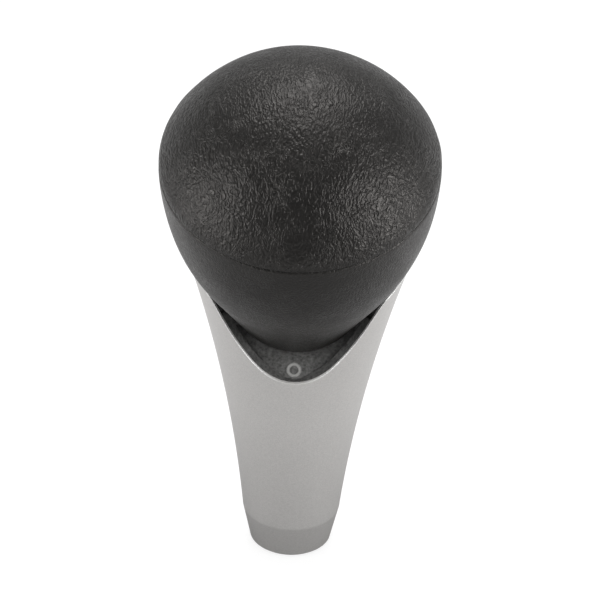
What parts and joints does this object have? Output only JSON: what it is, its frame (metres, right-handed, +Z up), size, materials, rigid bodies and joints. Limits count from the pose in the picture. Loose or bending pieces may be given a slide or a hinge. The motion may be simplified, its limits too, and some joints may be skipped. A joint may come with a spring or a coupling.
{
  "type": "gear shift knob",
  "caption": "Gear shift knob: a round leather-covered head leaning towards the driver on a flared stem that screws onto a shift lever.",
  "frame": {"origin": "centre of the lower bush's mouth, level with the stem's lower rim, on the lever's axis", "axes": "+Z up the lever's axis, -Y towards the driver, the side the head leans to"},
  "size_m": [0.052, 0.0604, 0.1144],
  "materials": {
    "leather_cap": "fine-grained black leather, satin",
    "leather_bowl": "fine-grained black leather, satin",
    "moulding": "bare black moulding",
    "brass": "turned",
    "spring_steel": "blank spring steel",
    "grey_plastic": "fine spark-eroded texture",
    "silver_paint": "satin silver metallic paint on plastic",
    "bush_plastic": "natural black acetal"
  },
  "bodies": {
    "root": {"cap_skin": "leather_cap", "bowl_skin": "leather_bowl", "cap_former": "moulding", "head_core": "moulding", "thread_insert": "brass", "retaining_ring": "spring_steel", "carrier": "grey_plastic", "stem_shell": "silver_paint", "lower_bush": "bush_plastic"}
  },
  "joints": []
}
